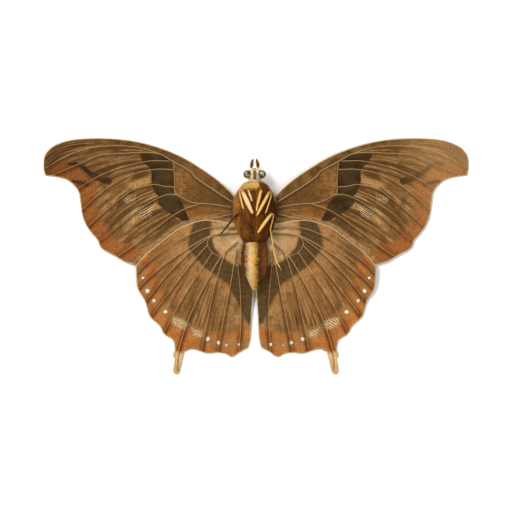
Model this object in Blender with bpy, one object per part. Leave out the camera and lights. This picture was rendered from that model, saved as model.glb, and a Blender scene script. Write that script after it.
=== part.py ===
"""A dried leafwing butterfly lying on its back, underside up, wings spread. Metres, +Z up.

The head points along +Y. The origin lies on the surface that the butterfly rests on, under the
middle of its outline. Wing outlines are given for the right side and mirrored to the left.
"""

import math

import bmesh
import bpy
from mathutils import Vector

MM = 0.001
WELD = 0.01 * MM  # points closer than this are one
FLAT_FACE = 0.9  # a face whose normal rises more than this lies flat
SHARP_EDGE = math.radians(50)
CHEST_ROUNDNESS, BELLY_ROUNDNESS, PALP_ROUNDNESS, SLIM_ROUNDNESS = 8, 5, 3, 2
HEAD_FACETS, EYE_FACETS = (18, 10), (14, 9)  # round the ball, and from pole to pole

# Driving dimensions, in millimetres.
WING_SPAN = 100.0
WING_THICKNESS = 0.35
WING_MARGIN_HEIGHT = 0.23  # middle of the membrane at its lowest, just clear of the surface
WING_RISE = 2.4  # how far the membrane climbs from its margin to the chest
WING_RISE_POWER = 1.4
FLUTE_DEPTH = 0.3
FLUTE_COUNT = 10.0
HINDWING_LIFT = 0.8  # the hindwing lies on the rear of the forewing
LIFT_STARTS_Y, LIFT_FULL_Y = -12.0, -4.0
LATTICE = 2.7  # spacing of the cuts that let a flat wing bend
BODY_X = -0.3  # the body sits a little to the left of the wings' middle
BODY_SHIFT_ENDS_X = 25.0
WING_CENTRE_Y = 9.0
WING_REACH_X, WING_REACH_Y = WING_SPAN / 2, 32.0

THORAX_HEIGHT, THORAX_SQUASH = 3.7, 0.82
THORAX_PROFILE = [  # along y, half width
    (17.2, 2.1), (16.6, 2.9), (15.4, 3.8), (14.0, 4.6), (11.5, 5.0),
    (8.5, 4.8), (6.0, 4.1), (4.4, 3.1), (3.7, 2.0),
]
ABDOMEN_HEIGHT, ABDOMEN_SQUASH = 3.3, 0.92
ABDOMEN_PROFILE = [
    (3.3, 2.2), (2.6, 2.9), (1.4, 3.2), (0.0, 3.35), (-1.6, 3.3),
    (-3.2, 2.95), (-4.8, 2.3), (-6.2, 1.5), (-7.3, 0.8), (-7.9, 0.35),
]
ABDOMEN_SEGMENTS, ABDOMEN_GROOVE = 7, 0.06

HEAD_CENTRE, HEAD_RADII = (0.0, 19.0, 3.5), (1.95, 1.45, 1.5)
EYE_CENTRE, EYE_RADII, EYE_GAP = (1.7, 19.15, 3.8), (0.98, 0.98, 1.1), 0.3
PALP = [  # x, y, z, radius
    (0.78, 20.55, 4.5, 0.26), (0.76, 20.9, 4.6, 0.4), (0.68, 21.5, 4.75, 0.42),
    (0.53, 22.1, 4.85, 0.33), (0.41, 22.6, 4.85, 0.12),
]
ANTENNA = [(1.2, 20.38, 3.05, 0.14), (1.5, 20.68, 3.1, 0.13), (1.95, 21.2, 3.2, 0.09)]
TONGUE_CENTRE_Y, TONGUE_CENTRE_Z = 18.7, 6.3
TONGUE_RADIUS, TONGUE_TUBE, TONGUE_TURNS = 1.08, 0.3, 1.3
TONGUE_PITCH, TONGUE_WIDEN, TONGUE_FLATTEN = 0.6, 1.5, 0.78
TONGUE_STEPS, TONGUE_TAPER = 26, 0.35
TONGUE_ROOT_ANGLE = math.pi / 3  # from straight ahead towards the head

LEG_CLEARANCE = 0.38
LEG_STEP = 0.9

# Outlines of the right wings, as stretches of x, y points that meet at corners.
FOREWING = [
    [  # leading edge, from the chest round the blunt tip
        (4.85, 14.0), (7.06, 16.3), (11.3, 19.6), (18.0, 23.6), (25.9, 26.4), (33.7, 27.6),
        (42.0, 27.5), (47.2, 26.1), (49.6, 23.8), (50.0, 21.0), (49.6, 18.95),
    ],
    [  # hollow outer margin below the hooked tip, with a shallow scallop between veins
        (49.6, 18.95), (47.3, 18.7), (44.5, 17.95), (42.6, 16.4), (41.65, 14.9), (41.3, 12.9),
        (40.85, 9.7), (40.0, 7.4), (38.8, 5.6), (37.2, 3.7), (36.3, 1.8), (33.2, 0.05),
        (30.8, -1.3), (28.15, -1.97),
    ],
    [(28.15, -1.97), (24.5, -1.2), (18.6, 1.6), (11.5, 4.9), (7.0, 7.3), (5.35, 8.8)],
    [(5.35, 8.8), (5.4, 11.5), (4.85, 14.0)],
]
HINDWING = [
    [  # leading edge, lying on the forewing
        (4.75, 6.7), (7.0, 7.5), (9.0, 8.3), (12.9, 8.3), (17.7, 6.6), (21.9, 3.6),
        (25.4, 0.8), (27.9, -1.9), (28.15, -3.5),
    ],
    [  # scalloped outer margin
        (28.15, -3.5), (27.8, -7.5), (26.1, -10.6), (25.0, -14.1), (22.7, -16.4),
        (21.6, -18.3), (19.5, -19.8), (19.0, -21.9),
    ],
    [(19.0, -21.9), (19.5, -23.3), (19.2, -23.9), (18.95, -23.6)],  # spur beside the tail
    [  # blunt tail
        (18.95, -23.6), (19.1, -24.8), (19.4, -27.0), (18.8, -27.8), (18.05, -27.5),
        (17.7, -26.3), (17.25, -24.4), (16.8, -22.5),
    ],
    [  # rear margin, scalloped
        (16.8, -22.5), (14.75, -21.9), (11.4, -22.85), (8.85, -22.7), (6.9, -23.0),
        (5.3, -23.7), (3.4, -22.5), (1.5, -21.5),
    ],
    [  # inner margin, round the abdomen
        (1.5, -21.5), (1.0, -19.2), (0.75, -14.1), (0.6, -10.8), (0.7, -9.0), (1.7, -6.6),
        (2.7, -4.9), (3.4, -3.2), (3.8, -1.0), (3.85, 1.0), (3.7, 2.8), (3.9, 4.6),
        (4.75, 6.7),
    ],
]

# Legs, as x, y, radius and, past the chest, z. The chest carries the points that give no z.
FORELEG_LEFT = [(-1.55, 15.4, 0.22), (-1.05, 14.1, 0.22), (-0.6, 12.7, 0.15)]
FORELEG_RIGHT = [(1.5, 15.3, 0.34), (1.0, 13.3, 0.38), (0.6, 11.8, 0.26), (0.42, 10.4, 0.16)]
MIDLEG_LEFT = [
    (-0.5, 9.9, 0.24), (-1.7, 12.5, 0.5), (-2.75, 14.8, 0.38), (-3.15, 15.5, 0.24),
    (-3.5, 15.4, 0.18), (-3.5, 14.6, 0.18), (-2.95, 12.2, 0.16), (-2.6, 10.9, 0.12),
]
MIDLEG_RIGHT = [
    (0.5, 9.4, 0.22), (1.8, 11.9, 0.42), (3.0, 14.1, 0.36), (3.4, 14.9, 0.25),
    (3.8, 14.9, 0.18), (3.85, 14.1, 0.17), (3.2, 12.0, 0.16), (2.5, 9.9, 0.12),
]
HINDLEG_LEFT = [
    (-0.7, 5.6, 0.24), (-1.8, 7.2, 0.36), (-3.1, 9.2, 0.32), (-3.6, 9.9, 0.26),
    (-4.15, 9.8, 0.24, 6.5), (-5.6, 8.0, 0.24, 5.3), (-7.1, 6.1, 0.2, 4.2), (-8.3, 4.7, 0.14, 3.5),
]
HINDLEG_RIGHT = [
    (0.7, 5.4, 0.26), (2.0, 7.3, 0.42), (3.4, 9.2, 0.38), (3.95, 9.9, 0.25),
    (4.4, 9.7, 0.18), (4.2, 8.6, 0.17, 6.0), (3.6, 6.3, 0.16, 5.8), (4.0, 4.2, 0.15, 5.0),
    (4.5, 0.6, 0.14, 4.0), (5.1, -1.3, 0.13, 3.2), (6.3, -3.4, 0.11, 2.7),
]

WING_BROWN = (0.27, 0.14, 0.05)
HIND_BROWN = (0.30, 0.14, 0.045)
CHEST_BROWN = (0.20, 0.07, 0.02)
ABDOMEN_GOLD = (0.42, 0.25, 0.09)
HEAD_CREAM = (0.70, 0.60, 0.42)
EYE_OLIVE = (0.05, 0.045, 0.02)
PALP_BROWN = (0.22, 0.09, 0.025)
LEG_CREAM = (0.66, 0.47, 0.22)
LEG_BROWN = (0.12, 0.06, 0.025)


def clear_scene():
    for obj in list(bpy.data.objects):
        bpy.data.objects.remove(obj, do_unlink=True)


def collection_named(name):
    collection = bpy.data.collections.get(name) or bpy.data.collections.new(name)
    if name not in bpy.context.scene.collection.children:
        bpy.context.scene.collection.children.link(collection)
    return collection


def make_material(name, colour, roughness):
    material = bpy.data.materials.new(name)
    material.use_nodes = True
    shader = material.node_tree.nodes["Principled BSDF"]
    shader.inputs["Base Color"].default_value = (*colour, 1.0)
    shader.inputs["Roughness"].default_value = roughness
    shader.inputs["Metallic"].default_value = 0.0
    return material


def smooth_step(value, low, high):
    part = min(1.0, max(0.0, (value - low) / (high - low)))
    return part * part * (3.0 - 2.0 * part)


def rounded(points, steps):
    """Points along a smooth curve through the given ones, with so many steps between them."""
    knots = [Vector(point) for point in points]
    ends = [knots[0] * 2 - knots[1], *knots, knots[-1] * 2 - knots[-2]]
    path = []
    for before, start, end, after in zip(ends, ends[1:], ends[2:], ends[3:]):
        for step in range(steps):
            t = step / steps
            path.append(
                0.5 * (
                    2 * start + (end - before) * t
                    + (2 * before - 5 * start + 4 * end - after) * t**2
                    + (3 * start - before - 3 * end + after) * t**3
                )
            )
    return path + [knots[-1]]


def half_width_at(profile, y):
    """Half width of a body at y, read between the points of its profile."""
    for (front, wide), (rear, narrow) in zip(profile, profile[1:]):
        if rear <= y <= front:
            return wide + (narrow - wide) * (front - y) / (front - rear)
    return 0.0


def chest_top(x, y):
    """Height of the chest's upper side, or of its middle beyond its edge."""
    half_width = half_width_at(THORAX_PROFILE, y)
    inside = 1.0 - (x / half_width) ** 2 if half_width else 0.0
    return THORAX_HEIGHT + THORAX_SQUASH * half_width * math.sqrt(max(0.0, inside))


def membrane_height(x, y, lift):
    """Height of the middle of a wing's membrane over the surface."""
    reach = min(1.0, math.hypot(x / WING_REACH_X, (y - WING_CENTRE_Y) / WING_REACH_Y))
    height = WING_MARGIN_HEIGHT + WING_RISE * (1.0 - reach) ** WING_RISE_POWER
    around = math.atan2(y - WING_CENTRE_Y, abs(x))
    height += FLUTE_DEPTH * math.sin(FLUTE_COUNT * around) * 4.0 * reach * (1.0 - reach) ** 2
    return height + lift * smooth_step(y, LIFT_STARTS_Y, LIFT_FULL_Y)


def mesh_object(name, curve, collection):
    """Makes a curve object a closed mesh in the collection, with its caps welded."""
    holder = bpy.data.objects.new(name + "_curve", curve)
    bpy.context.scene.collection.objects.link(holder)
    bpy.context.view_layer.update()
    graph = bpy.context.evaluated_depsgraph_get()
    mesh = bpy.data.meshes.new_from_object(holder.evaluated_get(graph))
    mesh.name = name
    bpy.data.objects.remove(holder, do_unlink=True)
    shape = bmesh.new()
    shape.from_mesh(mesh)
    bmesh.ops.remove_doubles(shape, verts=shape.verts, dist=WELD)
    bmesh.ops.recalc_face_normals(shape, faces=shape.faces)
    shape.to_mesh(mesh)
    shape.free()
    obj = bpy.data.objects.new(name, mesh)
    collection.objects.link(obj)
    return obj


def tapered_tube(name, stations, roundness, collection):
    """A round closed body through x, y, z, radius stations."""
    curve = bpy.data.curves.new(name, "CURVE")
    curve.dimensions = "3D"
    curve.bevel_depth = MM
    curve.bevel_resolution = roundness
    curve.use_fill_caps = True
    spline = curve.splines.new("POLY")
    spline.points.add(len(stations) - 1)
    for point, (x, y, z, radius) in zip(spline.points, stations):
        point.co = (x * MM, y * MM, z * MM, 1.0)
        point.radius = radius
    return mesh_object(name, curve, collection)


def finish(obj, material, smooth=True):
    obj.data.materials.clear()
    obj.data.materials.append(material)
    if smooth:
        obj.data.shade_smooth()
        obj.data.set_sharp_from_angle(angle=SHARP_EDGE)
    return obj


def squash(obj, height, factor):
    for vertex in obj.data.vertices:
        vertex.co.z = height * MM + (vertex.co.z - height * MM) * factor


def flatten_underside(obj):
    """Cuts off what would lie below the surface, and closes the cut with a flat face."""
    shape = bmesh.new()
    shape.from_mesh(obj.data)
    cut = bmesh.ops.bisect_plane(
        shape, geom=shape.verts[:] + shape.edges[:] + shape.faces[:],
        plane_co=(0.0, 0.0, 0.0), plane_no=(0.0, 0.0, 1.0), clear_inner=True,
    )
    rim = [item for item in cut["geom_cut"] if isinstance(item, bmesh.types.BMEdge)]
    bmesh.ops.contextual_create(shape, geom=rim)
    bmesh.ops.recalc_face_normals(shape, faces=shape.faces)
    shape.to_mesh(obj.data)
    shape.free()


def make_thorax(collection, material):
    path = rounded(THORAX_PROFILE, 2)
    stations = [(BODY_X, y, THORAX_HEIGHT, radius) for y, radius in path]
    thorax = tapered_tube("thorax", stations, CHEST_ROUNDNESS, collection)
    squash(thorax, THORAX_HEIGHT, THORAX_SQUASH)
    flatten_underside(thorax)
    return finish(thorax, material)


def make_abdomen(collection, material):
    """The abdomen tapers to the rear, with a shallow groove between its segments."""
    path = rounded(ABDOMEN_PROFILE, 3)
    front, rear = path[0][0], path[-1][0]
    stations = []
    for y, radius in path:
        turn = 2.0 * math.pi * ABDOMEN_SEGMENTS * (front - y) / (front - rear)
        groove = ABDOMEN_GROOVE * (0.5 + 0.5 * math.cos(turn))
        stations.append((BODY_X, y, ABDOMEN_HEIGHT, radius * (1.0 - groove)))
    abdomen = tapered_tube("abdomen", stations, BELLY_ROUNDNESS, collection)
    squash(abdomen, ABDOMEN_HEIGHT, ABDOMEN_SQUASH)
    return finish(abdomen, material)


def make_ball(name, centre, radii, facets, collection):
    mesh = bpy.data.meshes.new(name)
    shape = bmesh.new()
    segments, rings = facets
    bmesh.ops.create_uvsphere(shape, u_segments=segments, v_segments=rings, radius=MM)
    bmesh.ops.scale(shape, vec=radii, verts=shape.verts)
    bmesh.ops.translate(shape, vec=Vector(centre) * MM, verts=shape.verts)
    shape.to_mesh(mesh)
    shape.free()
    obj = bpy.data.objects.new(name, mesh)
    collection.objects.link(obj)
    return obj


def make_head(collection, cutters, head_material, eye_material):
    """The head with a socket on each side, and the eyes in them."""
    x, y, z = HEAD_CENTRE
    head = make_ball("head", (x + BODY_X, y, z), HEAD_RADII, HEAD_FACETS, collection)
    for side, end in ((-1, "left"), (1, "right")):
        centre = (BODY_X + side * EYE_CENTRE[0], EYE_CENTRE[1], EYE_CENTRE[2])
        socket_radii = [radius + EYE_GAP for radius in EYE_RADII]
        socket = make_ball("socket_" + end, centre, socket_radii, EYE_FACETS, cutters)
        socket.hide_render = True
        socket.display_type = "WIRE"
        cut = head.modifiers.new("socket_" + end, "BOOLEAN")
        cut.operation = "DIFFERENCE"
        cut.object = socket
        eye = make_ball("eye_" + end, centre, EYE_RADII, EYE_FACETS, collection)
        finish(eye, eye_material)
    finish(head, head_material, smooth=False)


def make_tongue(collection, material):
    """The coiled tongue stands on edge over the head, so it shows as a narrow bar."""
    stations = []
    for step in range(TONGUE_STEPS + 1):
        share = step / TONGUE_STEPS
        turn = TONGUE_TURNS * share
        radius = TONGUE_RADIUS - TONGUE_PITCH * turn
        angle = TONGUE_ROOT_ANGLE - 2.0 * math.pi * turn
        stations.append((
            0.0, TONGUE_CENTRE_Y + radius * math.cos(angle),
            TONGUE_CENTRE_Z - TONGUE_FLATTEN * radius * math.sin(angle),
            TONGUE_TUBE * (1.0 - TONGUE_TAPER * share),
        ))
    tongue = tapered_tube("proboscis", stations, SLIM_ROUNDNESS, collection)
    for vertex in tongue.data.vertices:
        vertex.co.x = BODY_X * MM + vertex.co.x * TONGUE_WIDEN
    return finish(tongue, material)


def make_mouth_and_antennae(collection, palp_material, antenna_material):
    for side, end in ((-1, "left"), (1, "right")):
        for name, stations, steps, roundness, material in (
            ("palp_", PALP, 2, PALP_ROUNDNESS, palp_material),
            ("antenna_", ANTENNA, 1, SLIM_ROUNDNESS, antenna_material),
        ):
            path = [
                (BODY_X + side * x, y, z, radius) for x, y, z, radius in rounded(stations, steps)
            ]
            finish(tapered_tube(name + end, path, roundness, collection), material)


def leg_path(joints):
    """The leg's stations, spaced along it, resting on the chest where no height is given."""
    raised = [
        (x, y, height[0] if height else chest_top(x, y) + LEG_CLEARANCE + radius, radius)
        for x, y, radius, *height in joints
    ]
    path = []
    for start, end in zip(raised, raised[1:]):
        steps = max(1, round(math.dist(start[:3], end[:3]) / LEG_STEP))
        for step in range(steps):
            x, y, z, radius = Vector(start).lerp(Vector(end), step / steps)
            path.append((x, y, max(z, chest_top(x, y) + LEG_CLEARANCE + radius), radius))
    return [(x + BODY_X, y, z, radius) for x, y, z, radius in path + [raised[-1]]]


def make_legs(collection, pale, dark):
    for name, joints, material in (
        ("foreleg_left", FORELEG_LEFT, pale), ("foreleg_right", FORELEG_RIGHT, pale),
        ("midleg_left", MIDLEG_LEFT, pale), ("midleg_right", MIDLEG_RIGHT, pale),
        ("hindleg_left", HINDLEG_LEFT, dark), ("hindleg_right", HINDLEG_RIGHT, pale),
    ):
        finish(tapered_tube(name, leg_path(joints), SLIM_ROUNDNESS, collection), material)


def cut_lattice(shape):
    """Cuts a flat plate along a square lattice, so that it can bend between the cuts."""
    for axis in (0, 1):
        low = min(vertex.co[axis] for vertex in shape.verts)
        high = max(vertex.co[axis] for vertex in shape.verts)
        count = int((high - low) / (LATTICE * MM))
        for line in range(1, count + 1):
            place, normal = Vector(), Vector()
            place[axis] = low + (high - low) * line / (count + 1)
            normal[axis] = 1.0
            bmesh.ops.bisect_plane(
                shape, geom=shape.verts[:] + shape.edges[:] + shape.faces[:],
                dist=2 * WELD, plane_co=place, plane_no=normal,
            )


def make_wing(name, outline, side, lift, collection, material):
    """A flat plate of the wing's outline, cut into cells and bent to the wing's form."""
    points = []
    for stretch in outline:
        points += rounded(stretch, 2)[:-1]
    curve = bpy.data.curves.new(name, "CURVE")
    curve.dimensions = "2D"
    curve.fill_mode = "BOTH"
    curve.extrude = WING_THICKNESS / 2 * MM
    spline = curve.splines.new("POLY")
    spline.points.add(len(points) - 1)
    for point, (x, y) in zip(spline.points, points):
        point.co = (side * x * MM, y * MM, 0.0, 1.0)
    spline.use_cyclic_u = True
    wing = mesh_object(name, curve, collection)
    shape = bmesh.new()
    shape.from_mesh(wing.data)
    inner = [
        edge for edge in shape.edges
        if len(edge.link_faces) == 2
        and all(abs(face.normal.z) > FLAT_FACE for face in edge.link_faces)
    ]
    bmesh.ops.dissolve_edges(shape, edges=inner, use_verts=False)
    cut_lattice(shape)
    bmesh.ops.triangulate(shape, faces=shape.faces)
    for vertex in shape.verts:
        x, y = vertex.co.x / MM, vertex.co.y / MM
        vertex.co.z += membrane_height(x, y, lift) * MM
        vertex.co.x += BODY_X * MM * (1.0 - smooth_step(abs(x), 0.0, BODY_SHIFT_ENDS_X))
    shape.to_mesh(wing.data)
    shape.free()
    return finish(wing, material)


def build():
    clear_scene()
    butterfly = collection_named("leafwing_butterfly")
    cutters = collection_named("cutters")
    fore_brown = make_material("forewing_brown", WING_BROWN, 0.75)
    hind_brown = make_material("hindwing_brown", HIND_BROWN, 0.75)
    chest_brown = make_material("chest_hair", CHEST_BROWN, 0.85)
    gold = make_material("abdomen_gold", ABDOMEN_GOLD, 0.8)
    cream = make_material("head_cream", HEAD_CREAM, 0.8)
    olive = make_material("eye_olive", EYE_OLIVE, 0.2)
    palp_brown = make_material("palp_brown", PALP_BROWN, 0.7)
    leg_cream = make_material("leg_cream", LEG_CREAM, 0.65)
    leg_brown = make_material("leg_brown", LEG_BROWN, 0.65)
    for side, end in ((-1, "left"), (1, "right")):
        make_wing("forewing_" + end, FOREWING, side, 0.0, butterfly, fore_brown)
        make_wing("hindwing_" + end, HINDWING, side, HINDWING_LIFT, butterfly, hind_brown)
    make_thorax(butterfly, chest_brown)
    make_abdomen(butterfly, gold)
    make_head(butterfly, cutters, cream, olive)
    make_tongue(butterfly, palp_brown)
    make_mouth_and_antennae(butterfly, palp_brown, leg_cream)
    make_legs(butterfly, leg_cream, leg_brown)


build()
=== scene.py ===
"""A dried leafwing butterfly on its back, seen from straight above on a pale floor."""

import math

import bmesh
import bpy
import numpy as np
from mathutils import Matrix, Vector
from mathutils.geometry import delaunay_2d_cdt


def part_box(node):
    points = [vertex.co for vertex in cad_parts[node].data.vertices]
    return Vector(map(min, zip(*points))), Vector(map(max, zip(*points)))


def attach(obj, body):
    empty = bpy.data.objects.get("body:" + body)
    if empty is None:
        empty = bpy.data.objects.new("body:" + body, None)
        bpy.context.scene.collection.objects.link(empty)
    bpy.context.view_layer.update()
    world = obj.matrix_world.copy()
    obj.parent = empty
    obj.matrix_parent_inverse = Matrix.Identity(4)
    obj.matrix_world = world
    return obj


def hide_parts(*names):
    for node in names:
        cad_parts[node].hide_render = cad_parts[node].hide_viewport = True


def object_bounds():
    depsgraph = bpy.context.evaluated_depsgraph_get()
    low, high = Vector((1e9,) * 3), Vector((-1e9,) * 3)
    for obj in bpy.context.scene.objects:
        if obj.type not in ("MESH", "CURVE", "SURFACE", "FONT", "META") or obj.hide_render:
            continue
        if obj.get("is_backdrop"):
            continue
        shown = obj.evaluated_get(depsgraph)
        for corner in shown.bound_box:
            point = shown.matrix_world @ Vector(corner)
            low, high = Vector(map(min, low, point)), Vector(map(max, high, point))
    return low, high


MM = 0.001

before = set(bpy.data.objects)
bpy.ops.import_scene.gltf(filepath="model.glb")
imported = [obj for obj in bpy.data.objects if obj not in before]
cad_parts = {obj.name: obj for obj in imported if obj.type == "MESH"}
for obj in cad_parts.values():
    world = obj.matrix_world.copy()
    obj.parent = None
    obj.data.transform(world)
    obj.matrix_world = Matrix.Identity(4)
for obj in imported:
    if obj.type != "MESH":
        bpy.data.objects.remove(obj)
SIZES = {"before": [list(corner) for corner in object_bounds()]}
BOX_LOW, BOX_HIGH = (np.array(corner) for corner in SIZES["before"])

BODY_X = -0.3  # the body sits a little to the left of the wings' middle
BODY_SHIFT_ENDS_X = 25.0  # the wings follow it, less and less, as far out as this
FLOOR_GAP = 0.03  # hairs stay this far above the floor

# The wings' shape, as the solids have it: low at the margins, fluted, and high at the chest.
WING_CENTRE_Y = 9.0
WING_REACH_X, WING_REACH_Y = 50.0, 32.0
WING_MARGIN_HEIGHT = 0.23
WING_RISE = 2.4
WING_RISE_POWER = 1.4
FLUTE_DEPTH = 0.3
FLUTE_COUNT = 10.0
HINDWING_LIFT = 0.8
HINDWING_CLIMB = (-12.0, -4.0)  # along y, where the hindwing climbs on to the forewing

MEMBRANE = 0.17  # thickness of a wing away from its edge
THIN_EDGE = 0.45  # its share at the very edge
THICK_FROM = 0.8  # distance from the edge where it is whole
SWELLING, SWELLING_WIDTH = 0.05, 0.45  # of the membrane, along a vein
RIM_STEPS = 9  # points between two of the outline's own
CELL = 0.22  # spacing of the wing's mesh
RIM_SPACING, RIM_CLEARANCE, ROW_SPACING = 0.6, 0.55, 0.87  # as shares of it
ROOT_SLACK = (1.0, 0.0)  # the wing's root may reach this much past its solid, under the body
MAIN_VEIN = 0.19  # a vein that is thicker than this at its root is grey, and the others are tan
VEIN_CLEARANCE = 0.06  # kept from the wing's edge
FRINGE_SPACING = 0.11
FRINGE_SEEDS = {"left": 12, "right": 13}

LENS = 179.25  # in millimetres, so that the wings fill the frame as in the photograph
CAMERA_HEIGHT, FLOOR_SIZE = 0.6, 3.0  # in metres

# Outlines of the right wings, in millimetres, as stretches that meet at corners.
FOREWING = [
    [  # leading edge, from the chest round the blunt tip
        (4.0, 13.1), (7.06, 16.3), (11.3, 19.6), (18.0, 23.6), (25.9, 26.4), (33.7, 27.6),
        (42.0, 27.5), (47.2, 26.1), (49.6, 23.8), (50.0, 21.0), (49.6, 18.95),
    ],
    [  # hollow outer margin below the hooked tip, with a shallow scallop between veins
        (49.6, 18.95), (47.3, 18.7), (44.5, 17.95), (42.6, 16.4), (41.65, 14.9), (41.3, 12.9),
        (40.85, 9.7), (40.0, 7.4), (38.8, 5.6), (37.2, 3.7), (36.3, 1.8), (33.2, 0.05),
        (30.8, -1.3), (28.15, -1.97),
    ],
    [(28.15, -1.97), (24.5, -1.2), (18.6, 1.6), (11.5, 4.9), (7.0, 6.8), (4.4, 7.6)],
    [(4.4, 7.6), (4.4, 10.5), (4.0, 13.1)],
]
HINDWING = [
    [  # leading edge, lying on the forewing
        (3.6, 7.4), (6.8, 7.9), (9.0, 8.3), (12.9, 8.3), (17.7, 6.6), (21.9, 3.6),
        (25.4, 0.8), (27.9, -1.9), (28.15, -3.5),
    ],
    [  # scalloped outer margin
        (28.15, -3.5), (27.8, -7.5), (26.1, -10.6), (25.0, -14.1), (22.7, -16.4),
        (21.6, -18.3), (19.5, -19.8), (19.0, -21.9),
    ],
    [(19.0, -21.9), (19.5, -23.3), (19.2, -23.9), (18.95, -23.6)],  # spur beside the tail
    [  # blunt tail
        (18.95, -23.6), (19.1, -24.8), (19.4, -27.0), (18.8, -27.8), (18.05, -27.5),
        (17.7, -26.3), (17.25, -24.4), (16.8, -22.5),
    ],
    [  # rear margin, scalloped
        (16.8, -22.5), (14.75, -21.9), (11.4, -22.85), (8.85, -22.7), (6.9, -23.0),
        (5.3, -23.7), (3.4, -22.5), (1.5, -21.5),
    ],
    [  # inner margin, round the abdomen
        (1.5, -21.5), (1.0, -19.2), (0.75, -14.1), (0.5, -10.8), (0.35, -8.4), (1.0, -6.6),
        (1.9, -4.9), (2.6, -3.2), (3.0, -1.0), (3.0, 1.0), (2.7, 2.8), (2.9, 4.9),
        (3.6, 7.4),
    ],
]

FORE_ROOT, HIND_ROOT = (4.5, 11.0), (3.5, 4.0)  # where the streaks start

# Veins of the right wings, from front to rear: radius at the root, at the margin, points.
FORE_VEINS = [
    (0.07, 0.05, [(38.0, 26.6), (43.0, 26.2), (47.0, 25.0), (49.5, 23.4)]),
    (0.11, 0.07, [
        (22.4, 24.0), (28.0, 25.6), (34.0, 25.9), (40.0, 25.2), (45.5, 23.0), (49.6, 20.6),
    ]),
    (0.26, 0.09, [  # the strong one below the leading edge
        (5.2, 12.6), (10.05, 15.7), (13.9, 18.3), (15.5, 20.0), (19.4, 22.2), (22.4, 23.9),
        (25.6, 24.3), (30.0, 24.2), (36.5, 23.7), (40.8, 22.0), (45.5, 20.0), (48.6, 18.8),
    ]),
    (0.12, 0.08, [
        (20.2, 22.3), (24.0, 22.4), (27.1, 22.0), (31.8, 20.8), (36.5, 19.0), (40.3, 16.9),
        (42.0, 15.6),
    ]),
    (0.12, 0.08, [
        (19.2, 20.3), (23.5, 20.4), (27.8, 19.6), (31.4, 18.2), (35.5, 15.6), (39.0, 12.7),
        (41.0, 10.7),
    ]),
    (0.12, 0.08, [
        (19.2, 16.2), (21.7, 16.4), (24.2, 16.8), (28.9, 15.6), (33.5, 12.2), (37.5, 8.8),
        (39.6, 6.8),
    ]),
    (0.22, 0.08, [
        (5.4, 11.4), (9.7, 12.1), (15.0, 12.6), (18.9, 14.4), (22.4, 13.9), (27.5, 10.9),
        (33.0, 6.5), (37.0, 3.3),
    ]),
    (0.12, 0.08, [(13.0, 12.3), (18.0, 10.4), (24.0, 6.2), (29.0, 2.3), (32.6, -0.1)]),
    (0.17, 0.08, [(5.5, 9.8), (10.9, 8.6), (14.9, 7.1), (20.0, 4.2), (25.0, 1.0), (28.6, -1.7)]),
]
FORE_CROSS = (0.1, 0.1, [(19.4, 21.9), (19.1, 18.5), (19.1, 14.6)])
HIND_VEINS = [
    (0.2, 0.08, [(4.4, 6.4), (8.0, 6.9), (13.0, 6.0), (20.0, 2.6), (25.5, -1.6), (28.0, -4.2)]),
    (0.18, 0.08, [(4.3, 5.4), (8.5, 5.2), (12.5, 3.8), (20.0, -0.9), (24.6, -4.6), (27.7, -7.6)]),
    (0.12, 0.08, [(10.2, 4.8), (15.0, 1.3), (21.0, -4.6), (26.0, -10.8)]),
    (0.12, 0.08, [(11.0, 2.8), (15.0, -1.7), (20.5, -8.7), (24.8, -14.3)]),
    (0.12, 0.08, [(10.0, 0.9), (13.5, -4.3), (18.0, -11.3), (21.7, -18.0)]),
    (0.16, 0.09, [
        (4.4, 3.2), (8.0, -0.2), (11.5, -6.2), (15.5, -14.2), (18.0, -21.8), (18.5, -27.0),
    ]),
    (0.12, 0.08, [(7.0, 0.8), (9.2, -6.0), (11.0, -14.0), (12.6, -22.2)]),
    (0.14, 0.08, [(4.4, 0.9), (5.6, -6.0), (7.3, -14.5), (8.8, -22.5)]),
    (0.1, 0.08, [(4.0, -2.4), (3.4, -8.5), (3.3, -15.5), (3.7, -22.4)]),
]
HIND_CROSS = (0.09, 0.09, [(10.2, 4.8), (11.3, 3.0), (10.2, 1.0), (8.0, -0.2)])

# Places on the body: a ball's centre and radii, or points along a tube. What comes in pairs has
# its x counted from the body's middle.
WAIST = ((BODY_X, 3.9, 2.6), (2.7, 1.3, 2.2))
NECK = ((BODY_X, 17.55, 3.4), (1.45, 0.75, 1.25))
TONGUE_ROOT = [(BODY_X, 19.45, 4.7, 0.42), (BODY_X, 19.3, 5.1, 0.36), (BODY_X, 19.45, 5.65, 0.3)]
EYE_SOCKET = ((1.7, 19.15, 3.0), (1.04, 1.04, 1.0))
ANTENNA_ROOT = [(0.7, 20.1, 3.2), (1.0, 20.25, 3.1), (1.3, 20.5, 3.07)]
ANTENNA_ROOT_RADIUS = 0.13
COLLAR_Y, COLLAR_HEIGHT = 15.85, 3.2
COLLAR_PALE_FROM, COLLAR_PALE_TO = -3.2, 1.0
BELLY_GROOVES = (3.2, 1.6, 0.25)  # y of the first, their spacing, and the width kept bare
# Each leg's name in the solids, and the name of the piece that is shown.
LEGS = (("foreleg_", "front_leg_"), ("midleg_", "middle_leg_"), ("hindleg_", "rear_leg_"))
LEG_GROWTH = 0.03  # makes up for what the rounding takes
WIDE_LEG, WIDE_LEG_GROWTH = "midleg_left", 0.09
DARK_LEG = "hindleg_left"

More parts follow.
